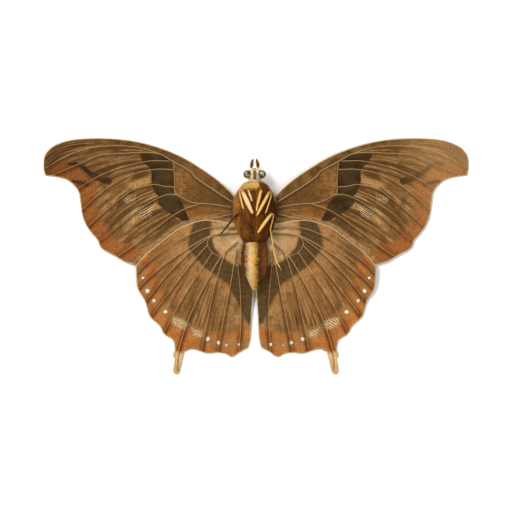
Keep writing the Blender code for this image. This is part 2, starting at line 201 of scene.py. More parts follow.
# Areas of colour on the right forewing.
FRONT_STRIP = [
    (4.85, 14.0), (7.06, 16.3), (11.3, 19.6), (18.0, 23.6), (25.9, 26.6), (33.7, 28.2),
    (42.0, 28.4), (40.0, 26.2), (34.0, 25.9), (28.0, 25.5), (25.6, 24.6), (22.4, 24.0),
    (19.4, 22.2), (15.5, 20.0), (13.9, 18.3), (10.05, 15.7), (5.2, 12.6),
]
CELL_AREA = [
    (5.2, 12.6), (10.05, 15.7), (13.9, 18.3), (15.5, 20.0), (19.2, 22.0), (19.1, 14.6),
    (15.0, 12.6), (9.7, 12.1), (5.4, 11.4),
]
DARK_BAND = [
    (19.1, 21.0), (19.9, 22.3), (22.4, 23.9), (25.6, 24.5), (27.3, 24.6), (27.2, 23.4),
    (26.5, 22.0), (25.0, 20.8), (24.6, 20.0), (24.6, 17.6), (24.3, 16.2), (23.6, 14.6),
    (22.6, 13.8), (20.6, 14.3), (19.1, 14.5), (18.9, 17.0),
]
DARK_LOBE = [
    (18.4, 14.1), (20.4, 14.2), (22.9, 13.6), (23.2, 12.4), (21.5, 10.8), (19.5, 9.6),
    (17.3, 8.3), (15.4, 8.3), (16.4, 10.4), (17.1, 12.4),
]
ROSY_AREA = [(10.6, 11.6), (13.2, 11.9), (17.0, 11.9), (16.2, 9.6), (14.8, 7.4), (11.0, 8.7)]
TAN_AREA = [
    (24.7, 20.4), (26.0, 20.6), (29.5, 19.4), (31.0, 17.2), (28.5, 15.7), (25.4, 16.6),
    (24.6, 17.6),
]
TIP_RUST = [
    (47.8, 18.6), (46.8, 20.3), (44.8, 21.0), (42.0, 20.9), (40.6, 19.8), (38.7, 18.2),
    (36.6, 16.9), (38.0, 14.0), (41.0, 12.0), (45.0, 17.0),
]
HATCH_AREAS = [
    [(24.4, 12.0), (28.3, 10.8), (26.8, 8.7), (24.7, 9.4)],
    [(28.2, 14.8), (31.4, 13.7), (30.4, 12.5), (28.5, 13.1)],
]
TIP_ARCH = [(44.0, 21.6), (42.2, 21.6), (40.6, 20.8), (38.7, 19.2), (36.2, 18.0), (34.6, 17.6)]
TIP_BAR = [(43.0, 17.6), (41.2, 17.2), (39.7, 16.7)]
CLOUD_LINE = [(32.7, 28.0), (33.0, 25.0), (33.5, 22.0), (34.6, 19.4), (35.4, 15.0), (33.0, 9.0)]
OUTER_BELT = [
    (45.5, 18.2), (42.6, 16.4), (41.65, 14.9), (41.3, 12.9), (40.85, 9.7), (40.0, 7.4),
    (38.8, 5.6), (37.2, 3.7), (36.3, 1.8), (33.2, 0.05), (30.8, -1.3), (28.15, -1.97),
]

TIP_RUST_WIDTH = 3.6  # along the outer margin
FORE_FOLD_WIDTH = 1.1  # of the pale strip beside the hindwing's leading edge
FORE_BORDER_WIDTH = 5.0  # on the back

# Areas of colour on the right hindwing.
SPOTS = [  # x, y, radius
    (26.6, -5.1, 0.3), (25.5, -8.2, 0.42), (24.0, -10.5, 0.38), (21.3, -13.1, 0.42),
    (11.2, -19.5, 0.44), (8.5, -20.4, 0.4), (6.7, -21.0, 0.22), (3.7, -20.8, 0.3),
]
SPOT_PATCHES = [
    [(19.5, -14.3), (17.5, -14.8), (15.6, -15.9), (16.2, -17.4), (18.0, -17.0), (19.7, -15.8)],
    [(15.0, -16.9), (12.6, -17.8), (12.3, -19.0), (14.4, -18.9)],
]
SPOT_LINE = [
    (27.2, -3.0), (26.6, -5.1), (25.4, -8.2), (23.9, -10.5), (21.2, -13.1), (17.6, -15.8),
    (13.6, -18.0), (11.2, -19.5), (8.5, -20.4), (3.7, -20.8), (2.0, -20.4),
]
TAIL_AREA = [(16.2, -23.0), (20.2, -22.2), (20.4, -29.0), (16.4, -29.0)]
# painted shade along the tail
TAIL_SHADE_LINE = [(17.9, -22.4), (18.3, -24.6), (18.4, -27.0)]
BASE_AREA = [
    (2.0, 7.6), (4.8, 8.4), (8.8, 8.8), (10.2, 6.0), (9.8, 2.4), (8.2, -0.3), (5.2, -1.8),
    (2.0, -1.8),
]
DARK_SWEEP = [  # the dark band goes on across the hindwing, to its inner margin
    (10.2, 9.0), (14.2, 8.6), (15.5, 5.0), (15.9, 2.2), (13.9, -0.6), (12.0, -2.7), (9.2, -4.6),
    (6.4, -6.5), (4.9, -9.4), (3.4, -12.4), (1.9, -15.6), (0.0, -17.0), (0.0, -2.6), (4.4, -2.3),
    (7.3, -0.7), (9.5, 2.0), (10.6, 5.4),
]
RUST_WIDTH, BARS_WIDTH = 4.6, 4.0  # along the outer margin and the rear one
INNER_WIDTH = 4.2  # along the abdomen
OLIVE_HALF_WIDTH = 1.0  # on both sides of the line of spots
HIND_BORDER_WIDTH = 6.0  # on the back


# Small tools
def smooth(value, low, high):
    part = np.clip((value - low) / (high - low), 0.0, 1.0)
    return part * part * (3.0 - 2.0 * part)


def rounded(points, steps):
    """Points along a smooth curve through the given ones, with so many steps between them."""
    knots = np.array(points, float)
    ends = np.vstack([2 * knots[0] - knots[1], knots, 2 * knots[-1] - knots[-2]])
    path = []
    for before, start, end, after in zip(ends, ends[1:], ends[2:], ends[3:]):
        for step in range(steps):
            t = step / steps
            path.append(0.5 * (
                2 * start + (end - before) * t
                + (2 * before - 5 * start + 4 * end - after) * t**2
                + (3 * start - before - 3 * end + after) * t**3
            ))
    return np.array(path + [knots[-1]])


def line_distance(points, path):
    """Each point's distance from a path, which side it is on, and its share of the way."""
    path = np.asarray(path, float)
    best = np.full(len(points), 1e9)
    hand, along = np.zeros(len(points)), np.zeros(len(points))
    run = 0.0
    for start, end in zip(path, path[1:]):
        step = end - start
        length = max(1e-9, float(np.hypot(*step)))
        offset = points - start
        t = np.clip((offset @ step) / length**2, 0.0, 1.0)
        gap = np.hypot(*(offset - t[:, None] * step).T)
        nearer = gap < best
        best[nearer] = gap[nearer]
        hand[nearer] = np.sign(step[1] * offset[:, 0] - step[0] * offset[:, 1])[nearer]
        along[nearer] = run + t[nearer] * length
        run += length
    return best, hand, along / run


def inside(points, corners):
    """True for the points inside a closed shape."""
    x, y = points.T
    result = np.zeros(len(points), bool)
    for (ax, ay), (bx, by) in zip(corners, np.roll(corners, -1, axis=0)):
        if ay == by:
            continue
        crosses = (ay > y) != (by > y)
        result ^= crosses & (x < (bx - ax) * (y - ay) / (by - ay) + ax)
    return result


def area_gap(points, *areas):
    """How far inside the nearest of some closed shapes each point is, below 0 outside."""
    best = np.full(len(points), -9.0)
    for corners in areas:
        corners = np.array(corners, float)
        gap = line_distance(points, np.vstack([corners, corners[:1]]))[0]
        best = np.maximum(best, np.where(inside(points, corners), gap, -gap))
    return best


def membrane_height(x, y, lift):
    """Height of the middle of a wing's membrane over the floor, as the solids have it."""
    across, along = x / WING_REACH_X, (y - WING_CENTRE_Y) / WING_REACH_Y
    reach = np.minimum(1.0, np.hypot(across, along))
    height = WING_MARGIN_HEIGHT + WING_RISE * (1.0 - reach) ** WING_RISE_POWER
    around = np.arctan2(y - WING_CENTRE_Y, np.abs(x))
    flutes = FLUTE_DEPTH * np.sin(FLUTE_COUNT * around)
    height = height + flutes * 4.0 * reach * (1.0 - reach) ** 2
    return height + lift * smooth(y, *HINDWING_CLIMB)


def placed(points, side, lift):
    """Flat wing points of the right side as x, y and height on the given side."""
    x, y = side * points[:, 0], points[:, 1]
    height = membrane_height(x, y, lift)
    x = x + BODY_X * (1.0 - smooth(np.abs(x), 0.0, BODY_SHIFT_ENDS_X))
    return np.column_stack([x, y, height])


def add_object(name, mesh, material, slot, *nodes):
    obj = bpy.data.objects.new(name, mesh)
    bpy.context.scene.collection.objects.link(obj)
    mesh.materials.append(material)
    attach(obj, "root")
    if nodes:
        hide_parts(*nodes)
    return obj


def mesh_from(name, verts, faces):
    """A mesh of points in millimetres, held inside the solids' box."""
    mesh = bpy.data.meshes.new(name)
    mesh.from_pydata(np.clip(np.asarray(verts) * MM, BOX_LOW, BOX_HIGH).tolist(), [], faces)
    mesh.update()
    return mesh


def set_values(mesh, name, values):
    attribute = mesh.attributes.new(name, "FLOAT", "POINT")
    attribute.data.foreach_set("value", np.asarray(values, np.float32))


# Materials
def linear(red, green, blue):
    return [
        c / 12.92 if c <= 0.04045 else ((c + 0.055) / 1.055) ** 2.4
        for c in (red / 255, green / 255, blue / 255)
    ]


class Paint:
    """Builds one procedural material, node by node."""

    def __init__(self, name, roughness, gloss=0.08):
        self.material = bpy.data.materials.new(name)
        self.material.use_nodes = True
        self.tree = self.material.node_tree
        self.shader = self.tree.nodes["Principled BSDF"]
        self.shader.inputs["Roughness"].default_value = roughness
        self.shader.inputs["Specular IOR Level"].default_value = gloss
        self.place = self.add("ShaderNodeTexCoord", {}).outputs["Object"]

    def add(self, kind, inputs, **settings):
        node = self.tree.nodes.new(kind)
        for key, value in settings.items():
            setattr(node, key, value)
        for socket, value in inputs.items():
            self.feed(node.inputs[socket], value)
        return node

    def feed(self, socket, value):
        if isinstance(value, bpy.types.NodeSocket):
            self.tree.links.new(value, socket)
        elif isinstance(value, tuple) and socket.type == "RGBA":
            socket.default_value = (*linear(*value), 1.0)
        else:
            socket.default_value = value

    def math(self, operation, first, second=0.0):
        return self.add("ShaderNodeMath", {0: first, 1: second}, operation=operation).outputs[0]

    def value(self, name):
        return self.add("ShaderNodeAttribute", {}, attribute_name=name).outputs["Fac"]

    def noise(self, scale, detail=3.0, vector=None, low=0.32, high=0.68):
        """Noise spread over 0 to 1."""
        node = self.add("ShaderNodeTexNoise", {
            "Vector": vector or self.place, "Scale": scale, "Detail": detail,
        })
        return self.step(node.outputs[0], low, high)

    def step(self, value, low, high):
        return self.add("ShaderNodeMapRange", {
            "Value": value, "From Min": low, "From Max": high,
        }, interpolation_type="SMOOTHSTEP").outputs["Result"]

    def vector(self, x, y, z=0.0):
        return self.add("ShaderNodeCombineXYZ", {0: x, 1: y, 2: z}).outputs[0]

    def mix(self, share, first, second, blend="MIX"):
        return self.add("ShaderNodeMix", {0: share, 6: first, 7: second},
                        data_type="RGBA", blend_type=blend).outputs[2]

    def ramp(self, share, *stops):
        node = self.add("ShaderNodeValToRGB", {0: share})
        points = node.color_ramp.elements
        while len(points) < len(stops):
            points.new(0.5)
        for point, (place, colour) in zip(points, stops):
            point.position = place
            point.color = (*linear(*colour), 1.0)
        return node.outputs[0]

    def finish(self, colour, height=None, depth=0.00003):
        self.feed(self.shader.inputs["Base Color"], colour)
        if height is not None:
            bump = self.add("ShaderNodeBump", {
                "Height": height, "Distance": depth, "Strength": 1.0,
            })
            self.feed(self.shader.inputs["Normal"], bump.outputs[0])
        return self.material


class WingPaint(Paint):
    """A wing's material, with the noises that its colours share."""

    def __init__(self, kind):
        super().__init__(kind + "_scales", 0.8)
        self.along, self.across = self.value("along"), self.value("across")
        self.near, self.edge = self.value("near"), self.value("edge")
        self.grain, self.speck = self.noise(6000.0, 1.0), self.noise(2400.0, 2.0)
        self.mottle, self.cloud = self.noise(420.0, 4.0), self.noise(110.0, 2.0)
        self.streak = self.veined(0.14, 3.0, 4.0)
        self.thread = self.veined(0.7, 12.0, 2.0)
        self.dab = self.veined(1.2, 8.0, 3.0)
        self.wobble = self.share(self.math("SUBTRACT", self.noise(1300.0, 2.0), 0.5), 0.14)
        slant = self.share(self.value("slant"), 12.5)
        self.hatching = self.math("SINE", self.math("ADD", slant, self.share(self.mottle, 3.0)))

    def share(self, first, second):
        return self.math("MULTIPLY", first, second)

    def veined(self, length, width, detail):
        """Noise that is drawn out along the veins."""
        place = self.vector(self.share(self.along, length), self.share(self.across, width))
        return self.noise(1.0, detail, place)

    def region(self, name, soft=0.12):
        """1 inside an area of colour and 0 outside, with an uneven edge."""
        return self.step(self.math("ADD", self.value(name), self.wobble), -soft, soft)

    def lay(self, name, soft, strength, under, over):
        """An area of colour over the colours so far."""
        return self.mix(self.share(self.region(name, soft), strength), under, over)


def leaf_ground(paint):
    """The browns of a dead leaf, streaked along the veins."""
    ground = paint.ramp(paint.streak, (0.0, (86, 58, 28)), (0.3, (120, 84, 44)),
                        (0.55, (148, 107, 60)), (0.8, (168, 127, 76)), (1.0, (188, 148, 96)))
    colour = paint.mix(paint.share(paint.thread, 0.6), ground, (98, 66, 32))
    line = paint.step(paint.veined(0.05, 6.0, 2.0), 0.55, 0.85)
    return paint.mix(paint.share(line, 0.75), colour, (74, 48, 22))


def forewing_colours(paint, colour):
    """Rust and tan, a mottled front strip, and the dark band and arch."""
    share, lay, mix, step = paint.share, paint.lay, paint.mix, paint.step
    mottle, dab, streak, thread = paint.mottle, paint.dab, paint.streak, paint.thread
    cloudy = share(paint.region("cloudline", 0.9), step(mottle, 0.15, 0.75))
    colour = mix(share(cloudy, 0.75), colour, (84, 56, 26))
    tan = mix(dab, (188, 144, 88), (162, 118, 66))
    colour = mix(share(paint.region("tan", 0.9), step(streak, 0.0, 0.45)), colour, tan)
    rust = mix(step(paint.near, 0.2, 1.7), (142, 76, 26), (170, 108, 56))
    rust = mix(share(dab, 0.6), rust, (128, 70, 26))
    colour = lay("rust", 1.0, 0.92, colour, rust)
    cell = mix(dab, (166, 118, 66), (122, 82, 40))
    blotch = paint.noise(900.0, 3.0, low=0.45, high=0.62)
    cell = mix(share(blotch, 0.55), cell, (92, 54, 20))
    near_root = step(paint.along, 15.5, 9.0)
    cell = mix(share(near_root, 0.8), cell, mix(dab, (108, 74, 34), (88, 58, 24)))
    colour = lay("cell", 0.12, 0.97, colour, cell)
    colour = lay("rosy", 1.1, 0.95, colour, mix(mottle, (158, 96, 40), (118, 80, 34)))
    strip = paint.ramp(mottle, (0.0, (88, 60, 26)), (0.5, (116, 82, 40)), (1.0, (140, 102, 56)))
    strip = mix(share(step(paint.cloud, 0.5, 0.9), 0.5), strip, (134, 74, 34))
    strip = mix(share(thread, 0.35), strip, (78, 54, 26))
    colour = lay("strip", 0.15, 0.93, colour, strip)
    colour = lay("fold", 0.5, 0.7, colour, mix(thread, (198, 160, 106), (150, 112, 64)))
    colour = lay("band", 0.07, 0.98, colour, mix(mottle, (48, 34, 12), (72, 54, 28)))
    colour = lay("arch", 0.2, 0.95, colour, mix(mottle, (48, 32, 12), (76, 52, 24)))
    hatch = share(paint.region("hatch", 0.5), step(paint.hatching, 0.1, 0.8))
    return mix(share(hatch, step(dab, -0.5, 0.9)), colour, (222, 196, 152))


def hindwing_colours(paint, colour):
    """A pale base, the dark sweep across, rust margins with dark bars, and pale spots."""
    share, lay, mix, step = paint.share, paint.lay, paint.mix, paint.step
    mottle, dab, streak = paint.mottle, paint.dab, paint.streak
    colour = mix(share(paint.cloud, 0.45), colour, (172, 118, 64))
    colour = lay("inner", 1.6, 0.75, colour, mix(dab, (104, 86, 46), (78, 64, 34)))
    colour = lay("base", 1.0, 0.9, colour, mix(streak, (192, 156, 106), (238, 208, 156)))
    beyond = share(step(paint.value("sweep"), -7.0, -1.0), step(mottle, -0.4, 0.8))
    tan = mix(dab, (192, 144, 88), (166, 120, 68))
    colour = mix(share(beyond, 0.75), colour, tan)
    sweep = mix(dab, (60, 43, 20), (100, 80, 46))
    sweep = mix(share(streak, 0.5), sweep, (82, 62, 34))
    colour = lay("sweep", 0.35, 0.93, colour, sweep)
    rust = mix(step(paint.near, 0.2, 1.5), (164, 88, 32), (204, 132, 70))
    rust = mix(share(mottle, 0.5), rust, (150, 84, 34))
    ripple = paint.math("ADD", paint.edge, share(mottle, 0.15))
    lines = step(paint.math("SINE", share(ripple, 13.0)), 0.2, 0.9)
    colour = lay("rust", 1.2, 0.92, colour, mix(share(lines, 0.45), rust, (114, 62, 26)))
    olive = mix(share(lines, 0.5), (160, 128, 76), (112, 78, 38))
    colour = lay("olive", 0.6, 0.55, colour, olive)
    bars = share(step(paint.near, 0.8, 0.2), paint.region("bars", 0.8))
    colour = mix(share(bars, 0.45), colour, (112, 56, 22))
    patch = share(paint.region("patch", 0.4), step(paint.hatching, -0.6, 0.5))
    colour = mix(share(patch, step(dab, -0.7, 0.9)), colour, (230, 208, 166))
    return mix(paint.region("spots", 0.1), colour, (246, 238, 218))


def tail_colours(paint, colour):
    """A pale tail with a line of painted shade along it."""
    tail = paint.mix(paint.mottle, (232, 190, 136), (198, 162, 110))
    colour = paint.lay("tail", 0.5, 1.0, colour, tail)
    # painted shade: a dark line along one side of the tail
    return paint.lay("tail_painted_shade", 0.12, 0.85, colour, (118, 88, 50))


def back_colours(paint):
    """The side that lies on the floor: dark brown with an orange-brown border."""
    share, mix = paint.share, paint.mix
    colour = mix(paint.region("outer", 1.5), (72, 46, 22), (160, 86, 34))
    colour = mix(share(paint.mottle, 0.3), colour, (48, 30, 14))
    colour = mix(share(paint.thread, 0.3), colour, (104, 68, 34))
    return mix(share(paint.step(paint.near, 0.3, 0.08), 0.7), colour, (40, 24, 12))


def wing_paint(kind):
    """Leaf-like underside with painted vein shadows, painted light on the far right and painted
    shade on the far left, dark upper side, and grain over both.
    """
    paint = WingPaint(kind)
    share, mix, step = paint.share, paint.mix, paint.step
    beside, painted_light_side = paint.value("beside"), paint.value("painted_light_side")
    colours = forewing_colours if kind == "forewing" else hindwing_colours
    colour = colours(paint, leaf_ground(paint))
    vein_shadow = share(step(beside, 0.02, 0.18), step(beside, 1.1, 0.3))
    vein_shadow = share(vein_shadow, step(paint.streak, 0.0, 0.5))
    colour = mix(share(vein_shadow, 0.7), colour, (84, 54, 24))
    if kind == "hindwing":
        colour = tail_colours(paint, colour)
    # painted light on the far parts of the right wings, then painted shade on those of the left
    colour = mix(share(step(painted_light_side, 0.0, 1.0), 0.3), colour, (214, 168, 108))
    painted_shade_left = share(step(painted_light_side, 0.0, -1.0), 0.35)
    colour = mix(painted_shade_left, colour, (132, 104, 72), "MULTIPLY")
    colour = mix(share(step(paint.edge, 0.22, 0.1), 0.85), colour, (220, 190, 140))
    colour = mix(paint.value("back"), colour, back_colours(paint))
    colour = mix(share(paint.grain, 0.3), colour, (150, 128, 104), "MULTIPLY")
    colour = mix(share(paint.speck, 0.35), colour, (160, 136, 108), "MULTIPLY")
    return paint.finish(colour, paint.math("ADD", paint.grain, paint.thread), 0.00002)


def tinted_paint(name, roughness, *stops, gloss=0.12):
    """Colour from the mesh's tint, broken up by a fine grain."""
    paint = Paint(name, roughness, gloss)
    grain = paint.noise(5000.0, 2.0)
    shift = paint.math("MULTIPLY", paint.math("SUBTRACT", grain, 0.5), 0.16)
    colour = paint.ramp(paint.math("ADD", paint.value("tint"), shift), *stops)
    return paint.finish(colour, grain, 0.00002)


def floor_paint():
    paint = Paint("floor", 0.9)
    return paint.finish((250, 250, 248))


# Wings
def wing_layout(outline, node):
    """The flat right wing: its points, triangles and rim, kept inside the solid's box."""
    rim = np.vstack([rounded(stretch, RIM_STEPS)[:-1] for stretch in outline])
    low, high = (np.array(corner[:2]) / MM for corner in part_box(node))
    rim = np.clip(rim, low - ROOT_SLACK, high)
    kept = [rim[0]]
    for point in rim[1:]:
        if np.hypot(*(point - kept[-1])) > CELL * RIM_SPACING:
            kept.append(point)
    rim = np.array(kept)
    low, high = rim.min(0), rim.max(0)
    rows = []
    row_step = CELL * ROW_SPACING
    for row in range(int((high[1] - low[1]) / row_step) + 1):
        xs = np.arange(low[0] + (row % 2) * CELL / 2, high[0], CELL)
        rows.append(np.column_stack([xs, np.full(len(xs), low[1] + row * row_step)]))
    grid = np.vstack(rows)
    grid = grid[inside(grid, rim)]
    gap = line_distance(grid, np.vstack([rim, rim[:1]]))[0]
    grid = grid[gap > CELL * RIM_CLEARANCE]
    points = np.vstack([rim, grid])
    edges = [(i, (i + 1) % len(rim)) for i in range(len(rim))]
    verts, _, faces, *_ = delaunay_2d_cdt([Vector(p) for p in points], edges, [], 1, 1e-5)
    return np.array([tuple(v) for v in verts]), faces, rim


def vein_fields(flat, veins, front, rear):
    """How far across the fan of veins each point is, and its distance beside the nearest."""
    total, weight = np.zeros(len(flat)), np.zeros(len(flat))
    near, beside = np.full(len(flat), 1e9), np.zeros(len(flat))
    lines = [front, *[path for _, _, path in veins], rear]
    for rank, path in enumerate(lines):
        gap, hand, _ = line_distance(flat, rounded(path, 5))
        pull = 1.0 / (gap**2 + 0.1)
        total += rank * pull
        weight += pull
        if 0 < rank < len(lines) - 1:
            nearer = gap < near
            near[nearer] = gap[nearer]
            beside[nearer] = (gap * hand)[nearer]
    return total / weight, near, beside


def path_gap(flat, path, start, end):
    """How far inside a line of changing half width each point is."""
    gap, _, share = line_distance(flat, rounded(path, 5))
    return start + (end - start) * share - gap


def wing_values(kind, flat, rim):
    """The fields that the wing's material reads, one value a point."""
    outline, veins = (FOREWING, FORE_VEINS) if kind == "forewing" else (HINDWING, HIND_VEINS)
    rear = outline[2] if kind == "forewing" else outline[5]
    across, near, beside = vein_fields(flat, veins, outline[0], rear)
    root = np.array(FORE_ROOT if kind == "forewing" else HIND_ROOT)
    edge = line_distance(flat, np.vstack([rim, rim[:1]]))[0]
    values = {
        "along": np.hypot(*(flat - root).T), "across": across, "near": near,
        "beside": beside, "edge": edge, "slant": 0.5 * flat[:, 0] + 0.87 * flat[:, 1],
    }
    if kind == "forewing":
        belt = line_distance(flat, OUTER_BELT)[0]
        hind_front = line_distance(flat, rounded(HINDWING[0], 4))[0]
        values.update({
            "strip": area_gap(flat, FRONT_STRIP), "cell": area_gap(flat, CELL_AREA),
            "band": area_gap(flat, DARK_BAND, DARK_LOBE), "rosy": area_gap(flat, ROSY_AREA),
            "tan": area_gap(flat, TAN_AREA), "hatch": area_gap(flat, *HATCH_AREAS),
            "rust": np.maximum(area_gap(flat, TIP_RUST), TIP_RUST_WIDTH - belt),
            "arch": np.maximum(
                path_gap(flat, TIP_ARCH, 0.3, 0.8), path_gap(flat, TIP_BAR, 0.4, 0.5),
            ),
            "fold": FORE_FOLD_WIDTH - hind_front, "outer": FORE_BORDER_WIDTH - belt,
            "cloudline": path_gap(flat, CLOUD_LINE, 0.9, 0.5),
        })
    else:
        belt = np.min([line_distance(flat, rounded(outline[i], 4))[0] for i in (1, 4)], axis=0)
        spots = np.max([r - np.hypot(flat[:, 0] - x, flat[:, 1] - y) for x, y, r in SPOTS], axis=0)
        values.update({
            "rust": RUST_WIDTH - belt, "bars": BARS_WIDTH - belt,
            "outer": HIND_BORDER_WIDTH - belt,
            "inner": INNER_WIDTH - line_distance(flat, rounded(outline[5], 4))[0],
            "olive": OLIVE_HALF_WIDTH - line_distance(flat, rounded(SPOT_LINE, 4))[0],
            "spots": spots, "patch": area_gap(flat, *SPOT_PATCHES),
            "base": area_gap(flat, BASE_AREA), "sweep": area_gap(flat, DARK_SWEEP),
            "tail": area_gap(flat, TAIL_AREA),
            "tail_painted_shade": path_gap(flat, TAIL_SHADE_LINE, 0.2, 0.12),
        })
    return values


def make_wing(kind, end, lift, layout, values, material):
    side = -1 if end == "left" else 1
    flat, faces, _ = layout
    share = THIN_EDGE + (1.0 - THIN_EDGE) * smooth(values["edge"], 0.0, THICK_FROM)
    thick = MEMBRANE * share
    relief = SWELLING * np.exp(-(values["near"] / SWELLING_WIDTH) ** 2)
    top = placed(flat, side, lift)
    bottom = top.copy()
    top[:, 2] += thick / 2 + relief
    bottom[:, 2] -= thick / 2 - relief / 2
    count = len(flat)
    ring = {(a, b) for face in faces for a, b in zip(face, face[1:] + face[:1])}
    border = [(a, b) for a, b in ring if (b, a) not in ring]
    turned = [tuple(reversed(face)) for face in faces]
    up, down = (faces, turned) if side > 0 else (turned, faces)
    if side > 0:
        border = [(b, a) for a, b in border]
    walls = [(a, b, b + count, a + count) for a, b in border]
    down = [tuple(i + count for i in face) for face in down]
    mesh = mesh_from(kind + "_" + end, np.vstack([top, bottom]), [*up, *down, *walls])
    for name, numbers in values.items():
        set_values(mesh, name, np.tile(np.clip(numbers, -60.0, 60.0), 2))
    set_values(mesh, "back", np.repeat([0.0, 1.0], count))
    # painted light and shade: 1 on the far parts of the right wings, -1 on those of the left
    set_values(mesh, "painted_light_side", side * smooth(np.tile(values["along"], 2), 26.0, 44.0))
    mesh.shade_smooth()
    add_object(kind + "_membrane_" + end, mesh, material, kind + "_brown", kind + "_" + end)


def tube_mesh(name, paths, tints, sides=6):
    """Round tubes along paths of x, y, z, radius, with flat ends, as one mesh."""
    verts, faces, colours = [], [], []
    for path, tint in zip(paths, tints):
        path = np.asarray(path, float)
        middle, radius = path[:, :3], path[:, 3:4]
        tangent = np.gradient(middle, axis=0)
        tangent /= np.linalg.norm(tangent, axis=1)[:, None] + 1e-12
        across = np.cross(tangent, (0.0, 0.0, 1.0)) + (1e-6, 0.0, 0.0)
        across /= np.linalg.norm(across, axis=1)[:, None]
        up = np.cross(across, tangent)
        base = len(verts)
        turns = 2.0 * math.pi * np.arange(sides) / sides
        for i in range(len(path)):
            verts += [
                middle[i] + radius[i] * (math.cos(turn) * across[i] + math.sin(turn) * up[i])
                for turn in turns
            ]
        colours += [tint] * (len(path) * sides)
        for i in range(len(path) - 1):
            for k in range(sides):
                a, b = base + i * sides + k, base + i * sides + (k + 1) % sides
                faces.append((a, b, b + sides, a + sides))
        last = base + (len(path) - 1) * sides
        faces.append(tuple(range(base + sides - 1, base - 1, -1)))
        faces.append(tuple(range(last, last + sides)))
    mesh = mesh_from(name, verts, faces)
    set_values(mesh, "tint", colours)
    mesh.shade_smooth()
    return mesh


def make_veins(kind, end, veins, lift, rim, material):
    side = -1 if end == "left" else 1
    closed = np.vstack([rim, rim[:1]])
    paths, tints = [], []
    for root, tip, path in veins:
        flat = rounded(path, 8)
        gap = line_distance(flat, closed)[0]
        flat = flat[inside(flat, rim) & (gap > VEIN_CLEARANCE)]
        radius = root + (tip - root) * np.linspace(0.0, 1.0, len(flat))
        spots = placed(flat, side, lift)
        spots[:, 2] += np.maximum(MEMBRANE / 2 + 0.02, radius)
        paths.append(np.column_stack([spots, radius * 0.7]))
        tints.append(0.0 if root > MAIN_VEIN else 0.6)
    name = kind + "_veins_" + end
    add_object(name, tube_mesh(name, paths, tints), material, kind + "_brown")


def make_fringe(kind, end, stretches, lift, rim):
    """Short pale scales that stand out from the wing's margin."""
    rng = np.random.default_rng(FRINGE_SEEDS[end])
    side = -1 if end == "left" else 1
    verts, faces, tints = [], [], []
    for stretch in stretches:
        path = rounded(stretch, 40)
        steps = np.diff(path, axis=0)
        run = np.concatenate([[0.0], np.cumsum(np.hypot(*steps.T))])
        for place in np.arange(0.1, run[-1], FRINGE_SPACING):
            i = min(len(steps) - 1, int(np.searchsorted(run, place)) - 1)
            way = steps[i] / (np.hypot(*steps[i]) + 1e-9)
            out = np.array((way[1], -way[0]))
            if inside((path[i] + 0.05 * out)[None], rim)[0]:
                out = -out
            lean = out + way * rng.normal(0.0, 0.35)
            foot = path[i] - 0.12 * out
            length, half = rng.uniform(0.22, 0.42), rng.uniform(0.035, 0.06)
            flat = np.array([foot - way * half, foot + way * half, foot + lean * length])
            spots = placed(flat, side, lift)
            spots[:, 2] += rng.uniform(-0.03, 0.03)
            start = len(verts)
            verts += list(spots)
            faces.append((start, start + 1, start + 2))
            tints += [float(np.clip(rng.normal(0.75, 0.2), 0.0, 1.0))] * 3
    name = kind + "_fringe_" + end
    mesh = mesh_from(name, verts, faces)
    set_values(mesh, "tint", tints)
    add_object(name, mesh, VEIN, kind + "_brown")


# Body
def smooth_copy(node, name, slot, material, levels, tint, grow=0.0):
    """A smooth copy of a CAD node's mesh, shown in its place, grown by what rounding takes."""
    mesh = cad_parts[node].data.copy()
    shape = bmesh.new()
    shape.from_mesh(mesh)
    bmesh.ops.remove_doubles(shape, verts=shape.verts, dist=0.002 * MM)
    bmesh.ops.recalc_face_normals(shape, faces=shape.faces)
    shape.to_mesh(mesh)
    shape.free()
    mesh.materials.clear()
    obj = add_object(name, mesh, material, slot, node)
    rounder = obj.modifiers.new("rounder", "SUBSURF")
    rounder.levels = rounder.render_levels = levels
    bpy.ops.object.select_all(action="DESELECT")
    obj.select_set(True)
    bpy.context.view_layer.objects.active = obj
    bpy.ops.object.modifier_apply(modifier=rounder.name)
    normals = [vertex.normal.copy() for vertex in obj.data.vertices]
    for vertex, normal in zip(obj.data.vertices, normals):
        vertex.co = np.clip(vertex.co + normal * grow * MM, BOX_LOW, BOX_HIGH)
    set_values(obj.data, "tint", [tint(v.co / MM, v.normal) for v in obj.data.vertices])
    obj.data.shade_smooth()
    return obj


